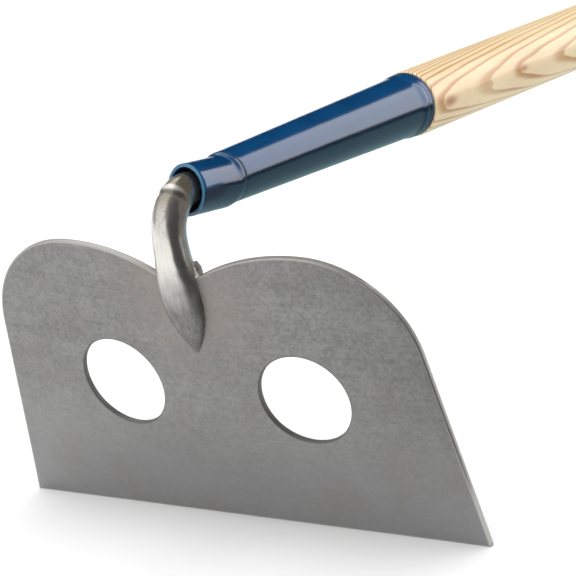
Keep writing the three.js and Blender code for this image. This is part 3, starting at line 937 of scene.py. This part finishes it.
def blue_enamel(ferrule):
    """Deep blue enamel: glossy over a faint orange peel, a little uneven in colour, with tiny dust
    nibs. Painted shade darkens it underneath, in the fold behind the collar and at the rim, and a
    painted highlight makes the mouth's edge pale."""
    finish = Finish("Blue enamel")
    here = finish.along_handle()
    pools = finish.noise(here, scale=45.0, detail=3.0, roughness=0.5)
    peel = finish.noise(here, scale=620.0, detail=2.0, roughness=0.5)
    long_waves = finish.streaks(here, (70.0, 14.0, 70.0), detail=2.0)
    deep = tuple(c * 0.80 for c in ferrule.enamel)
    base = finish.mix(pools.ease(0.35, 0.7), ferrule.enamel, deep)
    square = finish.axes(here)[2]
    # Painted shade: the underside is darkened, and its upper edge draws the dark line under the
    # bright reflected band.
    base = finish.mix(square.fade(0.0012, 0.0034), base, ferrule.shaded_enamel)
    from_mouth = finish.stored("from_mouth")
    # Painted highlight: a pale blue line along the mouth's edge.
    lip = from_mouth.fade(0.0003, 0.0010)
    base = finish.mix(lip * 0.9, base, ferrule.mouth_edge_painted_highlight)
    # Painted shade: dark in the fold behind the collar, over a strip of its upper side, and in a
    # ring at the rim.
    fold = ferrule.collar + CREASE
    crease = from_mouth.ease(fold - 0.0010, fold - 0.0003)
    crease = crease * from_mouth.fade(fold + 0.0003, fold + 0.0010)
    crease = crease * square.ease(0.0, 0.002) * square.fade(0.0085, 0.0105)
    rim = ferrule.collar + ferrule.cone + ferrule.lip
    crease = crease + from_mouth.ease(rim - 0.0030, rim - 0.0018) * 0.8
    base = finish.mix(crease * 0.85, base, ferrule.fold_and_rim_painted_shade)
    nibs = finish.cells(here, scale=330.0).fade(0.04, 0.10) * pools.ease(0.5, 0.62)
    rough = 0.16 + peel * 0.08 + crease * 0.5
    waves = finish.bump(long_waves, distance=0.0006, strength=0.35)
    normal = finish.bump(peel * 0.5 + nibs * 0.5, distance=0.00004, strength=0.5, under=waves)
    return finish.wear(
        base_color=base, metallic=0.0, roughness=rough, normal=normal,
        coat_weight=0.3 - crease * 0.3, coat_roughness=0.04,
    )


# ---- Handle ----


def turned(profile, around):
    """Rings round the handle's axis, one for each (place along it, radius) of the profile."""
    _, _, up = handle_frame()
    along, radius = np.array(profile).T
    return rings(on_axis(along), radius[:, None] * ACROSS, radius[:, None] * up, around)


HANDLE_AROUND = 128
NOSE_RINGS, SHOULDER_RINGS, STICK_RINGS = 12, 7, 70
NOSE_EDGE = 0.0006
BEFORE_BEVEL = 0.004


def handle_surface(neck, ferrule, handle):
    """The stick, turned: a bored nose that fills the ferrule, a shoulder just behind the rim with
    a rounded edge, the long round stick, and a chamfered end."""
    cone_start = ferrule.mouth + ferrule.collar
    rim = cone_start + ferrule.cone + ferrule.lip
    nose = cone_start + handle.nose_setback
    end = nose + handle.length
    seat = ferrule.wall + handle.fit
    tang_end = ferrule.mouth + neck.tang_length + handle.fit
    shoulder = rim + handle.fit
    soft = handle.rounding
    a = np.linspace(0.0, np.pi / 2, SHOULDER_RINGS)
    profile = [(tang_end, 0.0), (tang_end, neck.tang_end_radius + handle.fit)]
    profile += [(nose, neck.radius + handle.fit)]
    nose_radius = cone_radius(neck, ferrule, handle, nose) - seat
    profile += [(nose, nose_radius - NOSE_EDGE), (nose + NOSE_EDGE, nose_radius)]
    for along in np.linspace(nose + 0.004, shoulder, NOSE_RINGS):
        profile.append((along, cone_radius(neck, ferrule, handle, along) - seat))
    profile += list(zip(
        shoulder + soft * (1.0 - np.cos(a)), handle.radius - soft * (1.0 - np.sin(a))
    ))
    bevel = end - handle.chamfer
    for along in np.linspace(shoulder + soft * 2.0, bevel - BEFORE_BEVEL, STICK_RINGS):
        profile.append((along, handle.radius))
    sawn = handle.radius - handle.chamfer
    profile += [
        (bevel - 0.0008, handle.radius), (bevel + 0.0005, handle.radius - 0.0004),
        (end - 0.0012, sawn + 0.0015), (end - 0.0004, sawn + 0.0002), (end, sawn - 0.0006),
        (end, 0.004), (end, 0.0),
    ]
    return turned(profile, HANDLE_AROUND), grid_faces(len(profile), HANDLE_AROUND)


KNOTS = ((0.0, 0.0, 1.0), (0.078, 0.12, 0.85), (0.64, 1.9, 0.9))  # further on, turned, sized


def lacquered_wood(handle):
    """Pale straight-grained wood under clear lacquer. A growth ring shows where
    x cos(side) + z sin(side) + slope y, bent by slow noise and lifted round the knots, passes a
    whole number of ring spacings, so the rings run along the stick and close in long arches on
    the side that faces the bark. Pores and fibres run along the axis."""
    finish = Finish("Lacquered wood")
    here = finish.along_handle()
    x, y, z = finish.axes(here)
    side = (math.cos(handle.ring_side), math.sin(handle.ring_side))
    sway = finish.streaks(here, (38.0, 5.0, 38.0), detail=2.0, roughness=0.5)
    waver = finish.streaks(here, (130.0, 16.0, 130.0), detail=2.0, roughness=0.5)
    toward = x * side[0] + z * side[1]
    square = z * side[0] - x * side[1]
    field = toward + y * handle.ring_slope + square * square * 9.0
    field = field + sway * 0.0042 + waver * 0.0009 + 0.0015
    fibres = finish.streaks(here, (1500.0, 22.0, 1500.0), detail=3.0, roughness=0.6)
    knots = halos = None
    for further, turn, size in KNOTS:
        cos, sin = math.cos(handle.ring_side + turn), math.sin(handle.ring_side + turn)
        place = (handle.radius * cos, handle.knot_along + further, handle.radius * sin)
        offset = finish.node(
            "ShaderNodeVectorMath", {"operation": "SUBTRACT"}, {0: here, 1: place}
        )
        squeezed = finish.stretch(offset, (1.0, 0.42, 1.0))
        reach = finish.away(squeezed, (0.0, 0.0, 0.0)) / size
        field = field + reach.ease(0.0, 0.011, 0.0005, 0.0)
        heart = (reach + waver * 0.002 + fibres * 0.002).fade(0.0018, 0.0064)
        halo = reach.fade(0.004, 0.024)
        knots = heart if knots is None else knots.maths("MAXIMUM", knots, heart)
        halos = halo if halos is None else halos.maths("MAXIMUM", halos, halo)
    ring = (field / handle.ring_spacing).part()
    line = ring.ease(0.52, 0.88) * ring.fade(0.92, 0.99)
    pores = finish.streaks(here, (2600.0, 130.0, 2600.0), detail=1.0)
    patches = finish.streaks(here, (60.0, 6.0, 60.0), detail=3.0, roughness=0.5)
    strength = patches.ease(0.3, 0.7, 0.45, 1.0)
    late = line * (strength + halos * 0.4) + fibres.ease(0.45, 0.8) * 0.22
    base = finish.mix(patches.ease(0.3, 0.75) * 0.5, handle.pale, handle.warm)
    base = finish.mix(halos * 0.16, base, handle.late)
    base = finish.mix(late, base, handle.late)
    base = finish.mix(pores.ease(0.66, 0.76) * 0.45, base, handle.late)
    base = finish.mix(knots * 0.88, base, handle.knot)
    rough = 0.34 + fibres * 0.16 - line * 0.05
    relief = fibres * 0.5 - pores.ease(0.66, 0.76) * 0.5 + line * 0.35
    normal = finish.bump(relief, distance=0.00008, strength=0.6)
    return finish.wear(
        base_color=base, metallic=0.0, roughness=rough, normal=normal,
        coat_weight=0.25, coat_roughness=0.16,
    )


# ---- Pin ----


PIN_AROUND, HEAD_RINGS = 40, 10
BROW = 0.00035  # straight side of the head, under its dome


def pin_surface(neck, ferrule, handle, pin):
    """A shank and a round head, turned about a line square to the handle on its left side."""
    rim = ferrule.mouth + ferrule.collar + ferrule.cone + ferrule.lip
    place = rim - pin.from_rim
    surface = cone_radius(neck, ferrule, handle, place) + handle.fit
    a = np.linspace(0.0, np.pi / 2, HEAD_RINGS)
    profile = [(-pin.length, 0.0), (-pin.length + 0.0004, pin.radius * 0.7)]
    profile += [(-pin.length + 0.0014, pin.radius), (-0.001, pin.radius), (0.0, pin.radius)]
    profile += [(0.0, pin.head_radius - 0.0002), (0.00012, pin.head_radius)]
    profile += list(zip(
        BROW + (pin.head_height - BROW) * np.sin(a), pin.head_radius * np.cos(a) ** 0.85
    ))
    profile[-1] = (pin.head_height, 0.0)
    height, radius = np.array(profile).T
    _, axis, up = handle_frame()
    centres = on_axis(np.full(len(height), place)) - (surface + height)[:, None] * ACROSS
    points = rings(centres, radius[:, None] * axis, radius[:, None] * up, PIN_AROUND)
    return points, grid_faces(len(profile), PIN_AROUND)


def pin_steel(pin):
    """Bright pin steel with hammer marks and a little dirt."""
    finish = Finish("Pin steel")
    here = finish.along_handle()
    dents = finish.noise(here, scale=700.0, detail=2.0, roughness=0.5)
    grime = finish.noise(here, scale=1600.0, detail=3.0, roughness=0.6)
    base = finish.mix(grime.ease(0.4, 0.75) * 0.7, pin.steel, pin.dark_steel)
    rough = 0.26 + grime * 0.2
    normal = finish.bump(dents, distance=0.0002, strength=0.5)
    return finish.wear(base_color=base, metallic=0.95, roughness=rough, normal=normal)


# ---- Stage ----


CARD_COLUMNS = 25
CARD_RADIUS, CARD_START, CARD_END = 0.11, 0.09, 0.9  # round the handle
STUDIO_FRONT, STUDIO_BACK, STUDIO_TOP = -1.2, 1.0, 1.3
VIEWER_SIDE = np.array((0.604, -0.797, 0.0))  # from the neck towards the viewer
VIEWER_RIGHT = np.array((0.797, 0.604, 0.0))


def prop(name, points, faces, finish):
    """A stage piece, which isn't part of the hoe."""
    mesh = bpy.data.meshes.new(name)
    mesh.from_pydata(points, [], faces)
    mesh.materials.append(finish.material)
    piece = bpy.data.objects.new(name, mesh)
    bpy.context.collection.objects.link(piece)
    return piece


def card(name, points, strength, shade):
    """A sheet with two rows of points that only mirror-like surfaces see, bright or dark, as a
    studio card is: it casts no shadow and the camera looks past it."""
    finish = Finish(name)
    finish.wear(
        base_color=(0.0, 0.0, 0.0), roughness=1.0, specular_ior_level=0.0,
        emission_color=shade, emission_strength=strength,
    )
    faces = grid_faces(2, len(points) // 2, wrap_columns=False)
    sheet = prop(name, laid(points), faces, finish)
    sheet.visible_camera = False
    sheet.visible_diffuse = False
    sheet.visible_shadow = False
    sheet.visible_transmission = False


def spokes(low, high, first, second):
    """cos(a) first + sin(a) second, a going evenly from one angle to another."""
    a = np.radians(np.linspace(low, high, CARD_COLUMNS))[:, None]
    return np.cos(a) * first + np.sin(a) * second


def along_ferrule(low, high):
    """Part of a cylinder about the handle's axis, between two angles counted from +x upwards."""
    spoke = CARD_RADIUS * spokes(low, high, ACROSS, handle_frame()[2])
    return np.concatenate((on_axis(CARD_START) + spoke, on_axis(CARD_END) + spoke))


def beside_neck(radius, low, high, bottom, top):
    """Part of an upright cylinder about the neck, the angle counted from the viewer's side."""
    spoke = radius * spokes(low, high, VIEWER_SIDE, VIEWER_RIGHT)
    return np.concatenate((spoke + (0.0, 0.01, bottom), spoke + (0.0, 0.01, top)))


def behind_mouth(along, inner, outer, low, high):
    """Part of a flat ring about the handle's axis."""
    spoke = spokes(low, high, ACROSS, handle_frame()[2])
    return np.concatenate((on_axis(along) + inner * spoke, on_axis(along) + outer * spoke))


def before_blade(left, right):
    """Corners of an upright sheet in front of the blade."""
    return np.array([(x, STUDIO_FRONT, z) for z in (0.0, STUDIO_TOP) for x in (left, right)])


def overhead(left, right):
    """Corners of a level sheet above the hoe's head."""
    ends = (STUDIO_FRONT, STUDIO_BACK)
    return np.array([(x, y, STUDIO_TOP) for y in ends for x in (left, right)])


def floor(stage):
    """A plain pale floor, level with the CAD part's lowest point."""
    half = stage.floor / 2
    corners = ((-half, -half), (half, -half), (half, half), (-half, half))
    finish = Finish("Pale paper")
    tone = finish.noise(finish.place, scale=3.0, detail=2.0)
    warm = tuple(c * 0.985 for c in stage.floor_colour)
    shade = finish.mix(tone, stage.floor_colour, warm)
    finish.wear(base_color=shade, roughness=0.9, specular_ior_level=0.1)
    level = cad_box[0][2]
    prop("Floor", [(x, y, level) for x, y in corners], [(0, 1, 2, 3)], finish)


LAMP_TILT = (math.radians(4.0), math.radians(-8.0), 0.0)


def light(stage):
    """Even light from all round and one very soft lamp overhead, a little to the front left."""
    world = bpy.data.worlds.new("Studio")
    world.use_nodes = True
    background = world.node_tree.nodes["Background"]
    background.inputs["Color"].default_value = (1.0, 1.0, 1.0, 1.0)
    background.inputs["Strength"].default_value = stage.sky
    bpy.context.scene.world = world
    lamp = bpy.data.lights.new("Overhead lamp", "SUN")
    lamp.energy = stage.lamp
    lamp.angle = stage.lamp_spread
    lamp_object = bpy.data.objects.new("Overhead lamp", lamp)
    lamp_object.rotation_euler = LAMP_TILT
    bpy.context.collection.objects.link(lamp_object)


VIEW_RIGHT = np.array((0.8422, 0.4909, -0.2232))
VIEW_DOWN = np.array((0.07002, -0.509916, -0.85737))
VIEW_PLACE = (0.781195, -0.953999, 0.761341)


def camera(stage):
    """A long lens from the right and above, in front of the blade."""
    columns = np.eye(4)
    columns[:3, 0] = VIEW_RIGHT
    columns[:3, 1] = -VIEW_DOWN
    columns[:3, 2] = np.cross(VIEW_DOWN, VIEW_RIGHT)
    columns[:3, 3] = VIEW_PLACE
    lens = bpy.data.cameras.new("Camera")
    lens.sensor_width = 36.0
    lens.lens = stage.lens
    lens.clip_end = 200.0
    viewer = bpy.data.objects.new("Camera", lens)
    viewer.matrix_world = placement() @ Matrix(columns.tolist())
    bpy.context.collection.objects.link(viewer)
    bpy.context.scene.camera = viewer


# ---- Operators ----


class HOE_OT_blade(bpy.types.Operator):
    """Build the heart-shaped blade with its two holes"""

    bl_idname = "hoe.blade"
    bl_label = "Blade"

    def execute(self, context):
        blade = context.scene.hoe_blade
        points, faces, values = blade_surface(blade)
        build(
            "heart_blade", "blade", points, faces, rolled_steel(blade), values
        )
        return {"FINISHED"}


class HOE_OT_neck(bpy.types.Operator):
    """Build the swan neck and its forged point"""

    bl_idname = "hoe.neck"
    bl_label = "Swan neck"

    def execute(self, context):
        blade, neck, ferrule, _, _, _ = sizes()
        points, faces, values = neck_surface(blade, neck, ferrule)
        build("swan_neck", "neck", points, faces, forged_steel(neck), values)
        return {"FINISHED"}


class HOE_OT_welds(bpy.types.Operator):
    """Lay the three weld beads between the neck and the blade"""

    bl_idname = "hoe.welds"
    bl_label = "Weld beads"

    def execute(self, context):
        blade, neck, _, _, _, weld = sizes()
        finish = weld_steel(weld)
        x = neck.radius + neck.swell - weld.side_bite
        notch = notch_height()
        y = face_depth(blade, x, notch) + blade.thickness
        z = top_edge(blade, x) + weld.side_raise
        half = (weld.side_size, weld.side_size, weld.side_reach)
        for name, side in (("weld_left", -1.0), ("weld_right", 1.0)):
            points, faces = bead_surface((side * x, y, z), half, 2)
            build(name + "_bead", name, points, faces, finish)
        back = float(face_depth(blade, 0.0, notch)) + blade.thickness + weld.back_raise
        centre = (0.0, back, notch)
        half = (weld.back_width, weld.back_depth, weld.back_depth)
        points, faces = bead_surface(centre, half, 0)
        build("weld_back_bead", "weld_back", points, faces, finish)
        return {"FINISHED"}


class HOE_OT_ferrule(bpy.types.Operator):
    """Roll the ferrule with its leaning collar and flared rim"""

    bl_idname = "hoe.ferrule"
    bl_label = "Ferrule"

    def execute(self, context):
        _, neck, ferrule, handle, _, _ = sizes()
        points, faces, values = ferrule_surface(neck, ferrule, handle)
        finish = blue_enamel(ferrule)
        build("painted_ferrule", "ferrule", points, faces, finish, values)
        return {"FINISHED"}


class HOE_OT_handle(bpy.types.Operator):
    """Turn the long wooden handle"""

    bl_idname = "hoe.handle"
    bl_label = "Handle"

    def execute(self, context):
        _, neck, ferrule, handle, _, _ = sizes()
        points, faces = handle_surface(neck, ferrule, handle)
        build("long_handle", "handle", points, faces, lacquered_wood(handle))
        return {"FINISHED"}


class HOE_OT_pin(bpy.types.Operator):
    """Drive the pin that holds the ferrule"""

    bl_idname = "hoe.pin"
    bl_label = "Ferrule pin"

    def execute(self, context):
        _, neck, ferrule, handle, pin, _ = sizes()
        points, faces = pin_surface(neck, ferrule, handle, pin)
        build("ferrule_pin_fine", "ferrule_pin", points, faces, pin_steel(pin))
        return {"FINISHED"}


class HOE_OT_stage(bpy.types.Operator):
    """Set up the floor, the light, the studio cards and the camera"""

    bl_idname = "hoe.stage"
    bl_label = "Stage"

    def execute(self, context):
        stage = context.scene.hoe_stage
        floor(stage)
        light(stage)
        for name, points, strength, shade in (
            ("Bright card", along_ferrule(-4.0, 72.0), stage.panel, (1.0, 0.98, 0.97)),
            ("Dark card above", along_ferrule(72.0, 165.0), 0.012, (0.3, 0.6, 1.0)),
            ("Dark strip", along_ferrule(-19.0, -4.0), 0.01, (0.5, 0.7, 1.0)),
            ("Grey card below", along_ferrule(-140.0, -19.0), 0.46, (0.60, 0.95, 1.0)),
            ("Dark card", beside_neck(0.15, -6.0, 62.0, 0.02, 0.42), 0.02, (1.0, 1.0, 1.0)),
            ("Grey card", beside_neck(0.06, 62.0, 112.0, 0.07, 0.16), 0.22, (1.0, 1.0, 1.0)),
            ("Flag behind the mouth", behind_mouth(0.007, 0.014, 0.10, -30.0, 100.0), 0.16,
             (1.0, 0.9, 0.75)),
            ("Front card", before_blade(-2.4, 0.45), 1.0, (1.0, 1.0, 1.0)),
            ("Right card", before_blade(0.45, 3.0), 0.1, (1.0, 0.95, 0.85)),
            ("Top card, left", overhead(-2.4, 0.0), 0.9, (1.0, 0.98, 0.95)),
            ("Top card, right", overhead(0.0, 3.0), 0.15, (1.0, 0.95, 0.85)),
        ):
            card(name, points, strength, shade)
        camera(stage)
        return {"FINISHED"}


class HOE_PT_panel(bpy.types.Panel):
    """Lists the hoe's pieces in the order they are made"""

    bl_idname = "HOE_PT_panel"
    bl_label = "Mixing hoe"
    bl_space_type = "VIEW_3D"
    bl_region_type = "UI"
    bl_category = "Hoe"

    def draw(self, context):
        for step in STEPS:
            self.layout.operator(step.bl_idname)


STEPS = (
    HOE_OT_blade, HOE_OT_neck, HOE_OT_welds, HOE_OT_ferrule,
    HOE_OT_handle, HOE_OT_pin, HOE_OT_stage,
)
GROUPS = {
    "hoe_blade": BladeSizes, "hoe_neck": NeckSizes, "hoe_ferrule": FerruleSizes,
    "hoe_handle": HandleSizes, "hoe_pin": PinSizes, "hoe_weld": WeldSizes,
    "hoe_stage": StageSizes,
}
CLASSES = (*GROUPS.values(), *STEPS, HOE_PT_panel)


def register():
    for item in CLASSES:
        bpy.utils.register_class(item)
    for name, group in GROUPS.items():
        setattr(bpy.types.Scene, name, PointerProperty(type=group))


def unregister():
    for name in GROUPS:
        delattr(bpy.types.Scene, name)
    for item in reversed(CLASSES):
        bpy.utils.unregister_class(item)


def main():
    register()
    bpy.ops.hoe.blade()
    bpy.ops.hoe.neck()
    bpy.ops.hoe.welds()
    bpy.ops.hoe.ferrule()
    bpy.ops.hoe.handle()
    bpy.ops.hoe.pin()
    bpy.ops.hoe.stage()
    bpy.context.scene.view_settings.view_transform = "Standard"


if __name__ == "__main__":
    main()
